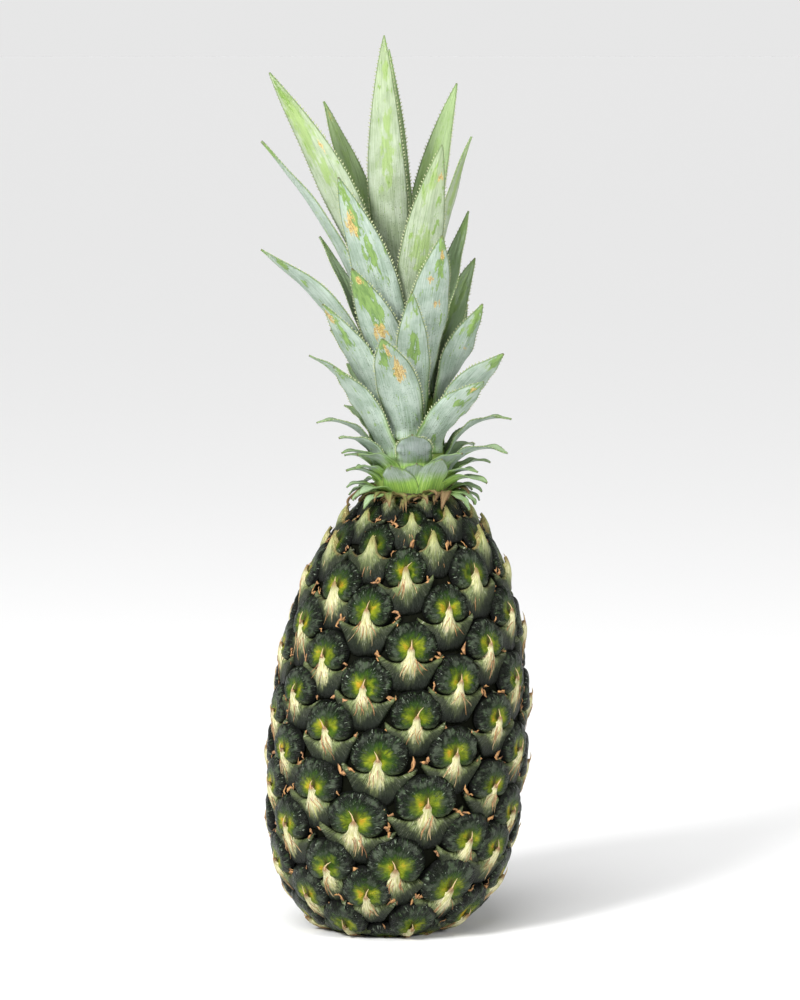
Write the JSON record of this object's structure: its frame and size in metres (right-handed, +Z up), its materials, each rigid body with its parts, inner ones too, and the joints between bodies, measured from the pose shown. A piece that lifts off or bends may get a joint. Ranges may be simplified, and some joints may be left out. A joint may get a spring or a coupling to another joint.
{
  "type": "pineapple",
  "caption": "Whole pineapple standing upright: barrel-shaped fruit covered in spiralling eyes, each with a dry-pointed bract, under a tall crown of stiff toothed leaves.",
  "frame": {"origin": "centre of the flat rest face at the base, on the cut end of the stalk", "axes": "+Z up from the base to the crown, +X to the right and -Y to the front, as pictured"},
  "size_m": [0.1182, 0.1163, 0.3914],
  "materials": {
    "rind": "waxy, semi-gloss, dark green with cream and tan bracts",
    "stalk": "dry, matte, fibrous",
    "crown_stem": "fresh, satin",
    "leaf": "waxy bloom, matte grey-green"
  },
  "bodies": {
    "root": {"fruit": "rind", "fruit_stalk": "stalk", "crown_stem": "crown_stem", "leaf_01": "leaf", "leaf_02": "leaf", "leaf_03": "leaf", "leaf_04": "leaf", "leaf_05": "leaf", "leaf_06": "leaf", "leaf_07": "leaf", "leaf_08": "leaf", "leaf_09": "leaf", "leaf_10": "leaf", "leaf_11": "leaf", "leaf_12": "leaf", "leaf_13": "leaf", "leaf_14": "leaf", "leaf_15": "leaf", "leaf_16": "leaf", "leaf_17": "leaf", "leaf_18": "leaf", "leaf_19": "leaf", "leaf_20": "leaf", "leaf_21": "leaf", "leaf_22": "leaf", "leaf_23": "leaf", "leaf_24": "leaf", "leaf_25": "leaf", "leaf_26": "leaf", "leaf_27": "leaf", "leaf_28": "leaf", "leaf_29": "leaf", "leaf_30": "leaf", "leaf_31": "leaf", "leaf_32": "leaf", "leaf_33": "leaf", "leaf_34": "leaf", "leaf_35": "leaf", "leaf_36": "leaf", "leaf_37": "leaf", "leaf_38": "leaf", "leaf_39": "leaf", "leaf_40": "leaf", "leaf_41": "leaf", "leaf_42": "leaf", "leaf_43": "leaf"}
  },
  "joints": []
}
